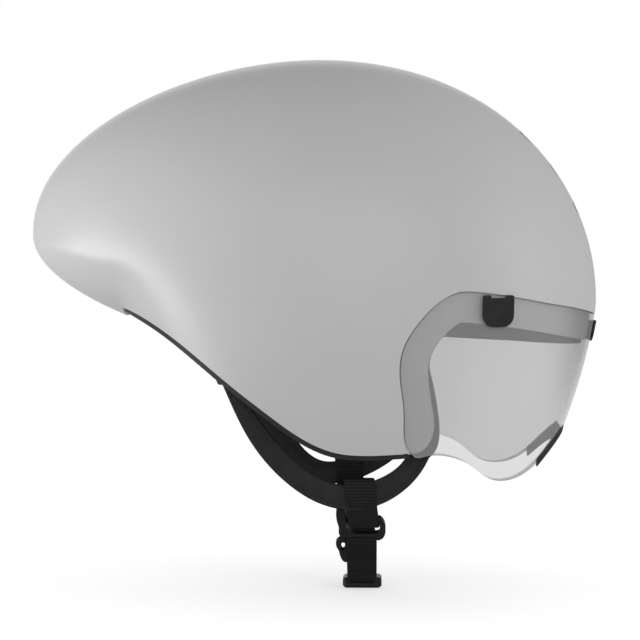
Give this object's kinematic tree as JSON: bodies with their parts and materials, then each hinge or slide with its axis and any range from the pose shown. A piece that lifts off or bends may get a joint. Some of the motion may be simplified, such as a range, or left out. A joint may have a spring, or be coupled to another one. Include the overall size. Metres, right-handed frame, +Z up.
{
  "type": "aero time trial helmet",
  "caption": "Smooth short-tailed time trial helmet with a wrap visor held by magnets, ear straps, a buckled chin strap and an inner dial fit.",
  "frame": {"origin": "middle of the head cavity at headband height, on the centre plane", "axes": "+X forward to the visor, +Y to the wearer's left, +Z up to the crown"},
  "size_m": [0.295, 0.1974, 0.2757],
  "materials": {
    "shell_paint": "satin",
    "black_plastic": "matte",
    "black_foam": "matte",
    "pad_fabric": "woven",
    "band_leather": "grained",
    "webbing": "woven",
    "buckle_plastic": "satin",
    "belt_plastic": "satin",
    "visor_clear": "gloss",
    "clip_plastic": "satin",
    "trim_rubber": "matte",
    "magnet": "plated",
    "steel": "brushed"
  },
  "bodies": {
    "helmet": {"outer_shell": "shell_paint", "rim_trim": "black_plastic", "vent_frame": "black_plastic", "exhaust_duct": "black_plastic", "foam_liner": "black_foam", "forehead_pad": "pad_fabric", "crown_pad": "pad_fabric", "side_pad_left": "pad_fabric", "side_pad_right": "pad_fabric", "rear_pad_left": "pad_fabric", "rear_pad_right": "pad_fabric", "strap_rivets": "steel", "side_band_left": "band_leather", "side_band_right": "band_leather", "strap_anchor_front_left": "black_plastic", "strap_anchor_front_right": "black_plastic", "strap_anchor_rear_left": "black_plastic", "strap_anchor_rear_right": "black_plastic", "strap_loop_left": "webbing", "strap_loop_right": "webbing", "buckle_socket": "buckle_plastic", "chin_webbing": "webbing", "temple_pin_left": "black_plastic", "temple_pin_right": "black_plastic", "shell_magnet_left": "magnet", "shell_magnet_right": "magnet", "shell_magnet_centre": "magnet"},
    "visor": {"visor_lens": "visor_clear", "visor_magnet_left": "magnet", "visor_magnet_right": "magnet", "visor_magnet_centre": "magnet", "visor_clip_left": "clip_plastic", "visor_clip_right": "clip_plastic", "visor_clip_centre": "clip_plastic", "nose_trim": "trim_rubber"},
    "belts": {"belt_left": "belt_plastic", "belt_right": "belt_plastic"},
    "cradle": {"cradle_yoke": "belt_plastic", "cradle_pad_left": "pad_fabric", "cradle_pad_right": "pad_fabric", "housing_screws": "steel", "dial_housing": "black_plastic", "housing_cover": "black_plastic"},
    "rack_left": {"rack_left": "belt_plastic"},
    "rack_right": {"rack_right": "belt_plastic"},
    "dial": {"dial_pinion": "black_plastic", "dial_knob": "black_plastic"},
    "tongue": {"buckle_tongue": "buckle_plastic"},
    "slider": {"strap_slider": "buckle_plastic"}
  },
  "joints": [
    {"name": "visor_pull", "type": "slide", "parent": "helmet", "child": "visor", "axis": [1, 0, 0], "range_m": [0, 0.12]},
    {"name": "belts_tilt", "type": "hinge", "parent": "helmet", "child": "belts", "pos_m": [0.014, 0, -0.005], "axis": [0, 1, 0], "range_deg": [-8, 8]},
    {"name": "cradle_draw", "type": "slide", "parent": "belts", "child": "cradle", "axis": [1, 0, 0], "range_m": [0, 0.012]},
    {"name": "rack_left_draw", "type": "slide", "parent": "cradle", "child": "rack_left", "axis": [0, 1, 0], "range_m": [-0.012, 0]},
    {"name": "rack_right_draw", "type": "slide", "parent": "cradle", "child": "rack_right", "axis": [0, 1, 0], "range_m": [0, 0.012]},
    {"name": "dial_turn", "type": "hinge", "parent": "cradle", "child": "dial", "pos_m": [-0.1, 0, -0.002], "axis": [1, 0, 0], "range_deg": [0, 138]},
    {"name": "buckle_release", "type": "slide", "parent": "helmet", "child": "tongue", "axis": [0, 0.682, -0.7314], "range_m": [0, 0.016], "deforming": ["chin_webbing"]},
    {"name": "slider_shift", "type": "hinge", "parent": "helmet", "child": "slider", "pos_m": [0.0065, 0, -0.11002], "axis": [1, 0, 0], "range_deg": [-11, 11]}
  ],
  "couplings": [
    {"joint": "rack_left_draw", "follows": "cradle_draw", "ratio": -1},
    {"joint": "rack_right_draw", "follows": "cradle_draw", "ratio": 1},
    {"joint": "dial_turn", "follows": "cradle_draw", "rad_per_m": 200}
  ]
}
